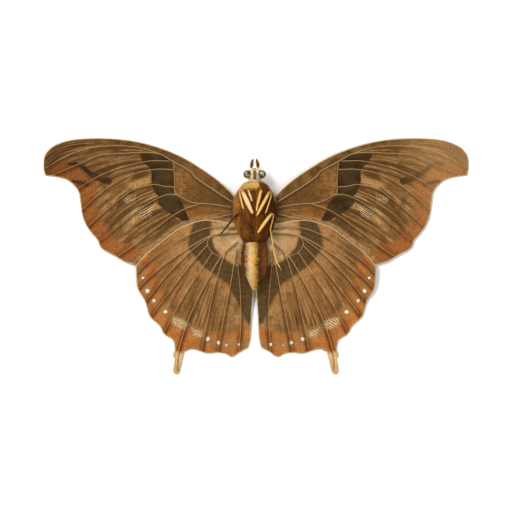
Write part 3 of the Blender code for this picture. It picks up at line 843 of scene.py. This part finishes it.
def make_fur(name, source, slot, material, count, length, width, flow, tint, seed,
             lift=0.3, keep=None, blend=0.09):
    """Fine flat hairs on a surface, each lying along the flow and lifted a little."""
    rng = np.random.default_rng(seed)
    mesh = source.data
    mesh.calc_loop_triangles()
    corners = [[mesh.vertices[i].co for i in t.vertices] for t in mesh.loop_triangles]
    corners = np.array(corners) / MM
    normals = np.cross(corners[:, 1] - corners[:, 0], corners[:, 2] - corners[:, 0])
    areas = np.linalg.norm(normals, axis=1)
    picks = rng.choice(len(corners), count, p=areas / areas.sum())
    a, b = rng.random(count), rng.random(count)
    fold = a + b > 1
    a[fold], b[fold] = 1 - a[fold], 1 - b[fold]
    verts, faces, tints = [], [], []
    for pick, u, v in zip(picks, a, b):
        corner = corners[pick]
        spot = corner[0] + u * (corner[1] - corner[0]) + v * (corner[2] - corner[0])
        normal = normals[pick] / areas[pick]
        if keep and not keep(spot, normal):
            continue
        way = np.array(flow(spot), float) + rng.normal(0.0, 0.22, 3)
        way -= normal * (way @ normal)
        way /= np.linalg.norm(way) + 1e-9
        across = np.cross(normal, way)
        reach = length * rng.uniform(0.6, 1.3)
        half = width * rng.uniform(0.7, 1.2) / 2
        rise = lift * rng.uniform(0.5, 1.3)
        middle = spot + way * reach * 0.5 + normal * reach * rise * 0.6
        tip = spot + way * reach + normal * reach * rise * 0.7
        start = len(verts)
        rows = [spot - across * half, spot + across * half, middle + across * half * 0.8,
                middle - across * half * 0.8, tip]
        for row in rows:
            row[2] = max(row[2], FLOOR_GAP)
        verts += rows
        faces += [(start, start + 1, start + 2, start + 3), (start + 3, start + 2, start + 4)]
        tints += [float(np.clip(tint(spot, normal) + rng.normal(0.0, blend), 0.0, 1.0))] * 5
    fur = mesh_from(name, verts, faces)
    set_values(fur, "tint", tints)
    return add_object(name, fur, material, slot)


def even(value):
    """A tint that is the same everywhere."""
    return lambda spot, normal: value


def rim_share(normal):
    """Where a round piece turns away from the eye, 1 at its outline and 0 on top."""
    return float(smooth(1.0 - abs(normal[2]), 0.08, 0.35))


def chest_tint(spot, normal):
    """Pale gold collar, brown chest with long streaks, painted light on the left flank and painted
    shade on the right one.
    """
    x, y, z = spot[0] - BODY_X, spot[1], spot[2]
    if y > COLLAR_Y and z > COLLAR_HEIGHT:
        return 0.97 if COLLAR_PALE_FROM < x < COLLAR_PALE_TO else 0.3
    if y > 13.0 and normal[2] < 0.3:
        return 0.9
    # painted light makes the left flank tan, and painted shade makes the right one dark
    flank = np.interp(x, (-3.8, -2.8, 2.7, 3.7), (0.66, 0.3, 0.26, 0.05))
    return flank + 0.12 * math.sin(2.3 * x) * (abs(x) < 2.8)


def belly_tint(spot, normal):
    """Place in the lengthwise bands, from the left side to the right: the abdomen's own stripes,
    with painted light on the left side and painted shade on the right.
    """
    x = spot[0] - BODY_X + 0.08 * math.sin(2.6 * spot[1])
    return float(np.clip(0.5 + x / 6.7, 0.0, 1.0))


def face_tint(spot, normal):
    """Cream, with a tan line down the middle."""
    return 0.8 if abs(spot[0] - BODY_X) > 0.35 else 0.45


def palp_tint(spot, normal):
    """Brown, with pale sides."""
    return 0.15 + 0.85 * rim_share(normal)


def leg_tint(spot, normal):
    """Gold with painted shade on its sides, and cream on the left side between two of the folded
    legs.
    """
    folded = spot[0] < -3.55 + 0.31 * (15.1 - spot[1])
    tone = 0.95 if spot[0] < -0.4 and 10.0 < spot[1] < 14.7 and not folded else 0.55
    # painted shade where the leg turns away from the eye
    return tone - 0.35 * rim_share(normal)


def eye_highlight_tint(spot, normal):
    """Painted highlight: paler towards the top."""
    return float(smooth(spot[2], 4.3, 4.95))


VEIN = tinted_paint("vein", 0.7, (0.0, (146, 122, 84)), (0.6, (172, 134, 84)),
                    (1.0, (216, 190, 146)))
CHEST = tinted_paint("chest_hairs", 0.85, (0.0, (62, 34, 8)), (0.28, (108, 58, 12)),
                     (0.5, (136, 80, 24)), (0.7, (172, 108, 48)), (1.0, (226, 184, 104)))
# the abdomen's own stripes, paler on the left with painted light and darker on the right with
# painted shade
GOLD = tinted_paint("belly_scales", 0.8, (0.0, (84, 42, 10)), (0.2, (104, 56, 18)),
                    (0.25, (200, 168, 120)), (0.36, (212, 182, 134)), (0.43, (214, 164, 80)),
                    (0.54, (184, 136, 58)), (0.59, (80, 42, 8)), (0.74, (70, 36, 6)),
                    (0.82, (128, 76, 32)), (1.0, (118, 62, 20)))
CREAM = tinted_paint("face_scales", 0.8, (0.0, (110, 70, 32)), (0.45, (206, 176, 130)),
                     (0.75, (238, 224, 196)), (1.0, (250, 242, 226)))
PALP = tinted_paint("palp_scales", 0.7, (0.0, (100, 62, 34)), (0.4, (124, 84, 38)),
                    (1.0, (212, 174, 118)))
LEG = tinted_paint("pale_leg", 0.6, (0.0, (142, 96, 44)), (0.5, (230, 182, 96)),
                   (0.8, (228, 192, 142)), (1.0, (222, 192, 162)))
LEG_DARK = tinted_paint("dark_leg", 0.6, (0.0, (52, 28, 12)), (0.5, (88, 52, 24)),
                        (1.0, (150, 100, 56)))


def eye_paint():
    """Dark olive, with a painted highlight on top and fine facets."""
    paint = Paint("eye_gloss", 0.12, 0.5)
    facets = paint.add("ShaderNodeTexVoronoi", {"Vector": paint.place, "Scale": 9000.0})
    # painted highlight, paler towards the top of the eye
    painted_highlight = paint.math("MULTIPLY", paint.value("tint"), paint.noise(1300.0, 1.0))
    colour = paint.ramp(painted_highlight, (0.0, (44, 40, 20)), (0.25, (104, 96, 56)), (1.0, (196, 182, 136)))
    return paint.finish(colour, facets.outputs["Distance"], 0.00001)


EYE = eye_paint()


def rearward(spot):
    """The way that the body's hair lies."""
    return (0.12 * (spot[0] - BODY_X), -1.0, 0.0)


def faces_in_order(mesh):
    """A new ball's faces, sorted, because their own order changes from run to run."""
    faces = []
    for face in mesh.polygons:
        corners = list(face.vertices)
        first = corners.index(min(corners))
        faces.append(corners[first:] + corners[:first])
    return sorted(faces)


def make_ball(name, centre, radii, slot, material, tint):
    """An oval of scales that closes a narrow space between two pieces of the body."""
    bpy.ops.mesh.primitive_uv_sphere_add(segments=32, ring_count=16, radius=1.0)
    ball = bpy.context.object
    places = [np.array(centre) + np.array(vertex.co) * radii for vertex in ball.data.vertices]
    mesh = mesh_from(name, places, faces_in_order(ball.data))
    bpy.data.objects.remove(ball)
    set_values(mesh, "tint", [tint] * len(places))
    mesh.shade_smooth()
    return add_object(name, mesh, material, slot)


def make_chest():
    chest = smooth_copy("thorax", "chest", "chest_hair", CHEST, 1, chest_tint)
    make_fur("chest_fur", chest, "chest_hair", CHEST, count=6500, length=1.1, width=0.1,
             flow=rearward, tint=chest_tint, seed=11, blend=0.13)
    waist = make_ball("waist", *WAIST, "chest_hair", CHEST, 0.2)
    make_fur("waist_fur", waist, "chest_hair", CHEST, count=1500, length=1.1, width=0.09,
             flow=rearward, tint=even(0.3), seed=15)


def make_belly():
    first, spacing, bare = BELLY_GROOVES
    belly = smooth_copy("abdomen", "belly", "abdomen_gold", GOLD, 1, belly_tint)
    make_fur("belly_fur", belly, "abdomen_gold", GOLD, count=5200, length=0.5, width=0.1,
             flow=rearward, tint=belly_tint, seed=12, lift=0.1,
             keep=lambda spot, normal: (first - spot[1]) % spacing > bare, blend=0.02)


def make_head():
    face = smooth_copy("head", "face", "head_cream", CREAM, 1, face_tint)
    make_fur("face_fur", face, "head_cream", CREAM, count=1600, length=0.5, width=0.08,
             flow=lambda spot: (0.0, 0.6, 0.2), tint=face_tint, seed=13)
    neck = make_ball("neck", *NECK, "head_cream", CREAM, 0.72)
    make_fur("neck_fur", neck, "head_cream", CREAM, count=700, length=0.7, width=0.08,
             flow=lambda spot: (0.0, -1.0, 0.3), tint=even(0.72), seed=14)
    smooth_copy("proboscis", "tongue", "palp_brown", PALP, 2, even(0.3))
    mesh = tube_mesh("tongue_root", [TONGUE_ROOT], [0.3], 10)
    add_object("tongue_root", mesh, PALP, "palp_brown")


def make_face_side(end):
    """One eye in its socket, with the mouth feeler and the antenna stub beside it."""
    side = -1 if end == "left" else 1
    smooth_copy("eye_" + end, "eyeball_" + end, "eye_olive", EYE, 2, eye_highlight_tint)
    (x, y, z), radii = EYE_SOCKET
    centre = (BODY_X + side * x, y, z)
    socket = make_ball("eye_socket_" + end, centre, radii, "head_cream", CREAM, 0.8)
    make_fur("lashes_" + end, socket, "head_cream", CREAM, count=1400, length=0.22, width=0.05,
             flow=lambda spot: (0.0, 0.0, 1.0), tint=even(0.8), seed=40 + side, lift=0.1)
    path = [(BODY_X + side * x, y, z, ANTENNA_ROOT_RADIUS) for x, y, z in ANTENNA_ROOT]
    mesh = tube_mesh("antenna_root_" + end, [path], [0.8], 8)
    add_object("antenna_root_" + end, mesh, CREAM, "head_cream")
    palp = smooth_copy("palp_" + end, "mouth_palp_" + end, "palp_brown", PALP, 2, palp_tint)
    make_fur("palp_fur_" + end, palp, "palp_brown", PALP, count=420, length=0.4, width=0.06,
             flow=lambda spot: (0.0, 1.0, 0.0), tint=palp_tint, seed=20 + side)
    smooth_copy("antenna_" + end, "antenna_stub_" + end, "leg_cream", CREAM, 2, even(0.8))


def make_legs(end):
    side = -1 if end == "left" else 1
    for number, (node, name) in enumerate(LEGS):
        grow = WIDE_LEG_GROWTH if node + end == WIDE_LEG else LEG_GROWTH
        slot, material, tint = "leg_cream", LEG, leg_tint
        if node + end == DARK_LEG:
            slot, material, tint = "leg_brown", LEG_DARK, even(0.4)
        leg = smooth_copy(node + end, name + end, slot, material, 2, tint, grow)
        make_fur(name + "fur_" + end, leg, slot, material, count=420, length=0.3, width=0.05,
                 flow=lambda spot: (0.0, -1.0, 0.0), tint=tint, seed=30 + 2 * number + side,
                 lift=0.2)


def make_wings():
    """Both pairs of wings, with fringes on all but their inner margins."""
    hind_fringed = HINDWING[:2] + HINDWING[3:5]
    for kind, outline, fringed, veins, lift in (
        ("forewing", FOREWING, FOREWING[:2], [*FORE_VEINS, FORE_CROSS], 0.0),
        ("hindwing", HINDWING, hind_fringed, [*HIND_VEINS, HIND_CROSS], HINDWING_LIFT),
    ):
        layout = wing_layout(outline, kind + "_right")
        rim = layout[2]
        values = wing_values(kind, layout[0], rim)
        material = wing_paint(kind)
        for end in ("left", "right"):
            make_wing(kind, end, lift, layout, values, material)
            make_veins(kind, end, veins, lift, rim, VEIN)
            make_fringe(kind, end, fringed, lift, rim)


make_wings()
make_chest()
make_belly()
make_head()
for end in ("left", "right"):
    make_face_side(end)
    make_legs(end)


# Camera, floor and light
def set_camera():
    data = bpy.data.cameras.new("camera")
    data.type = "PERSP"
    data.sensor_width = 36.0
    data.lens = LENS
    data.clip_start = 0.01
    camera = bpy.data.objects.new("camera", data)
    bpy.context.scene.collection.objects.link(camera)
    camera.location = (0.0, 0.0, CAMERA_HEIGHT)
    bpy.context.scene.camera = camera


def set_floor():
    bpy.ops.mesh.primitive_plane_add(size=FLOOR_SIZE)
    floor = bpy.context.object
    floor.name = "floor"
    floor.data.materials.append(floor_paint())
    floor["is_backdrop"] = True


def add_light(name, place, size, power):
    data = bpy.data.lights.new(name, "AREA")
    data.shape = "DISK"
    data.size = size
    data.energy = power
    light = bpy.data.objects.new(name, data)
    bpy.context.scene.collection.objects.link(light)
    light.location = place
    light.rotation_mode = "QUATERNION"
    light.rotation_quaternion = (-Vector(place)).to_track_quat("-Z", "Y")


set_camera()
set_floor()
add_light("key", place=(-0.45, 0.4, 0.7), size=0.35, power=7.0)
add_light("fill", place=(0.6, -0.2, 0.6), size=0.8, power=2.5)
world = bpy.data.worlds.new("studio")
bpy.context.scene.world = world
world.use_nodes = True
world.node_tree.nodes["Background"].inputs["Color"].default_value = (1.0, 1.0, 1.0, 1.0)
world.node_tree.nodes["Background"].inputs["Strength"].default_value = 0.55
bpy.context.scene.view_settings.view_transform = "Standard"

SIZES["after"] = [list(corner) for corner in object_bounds()]
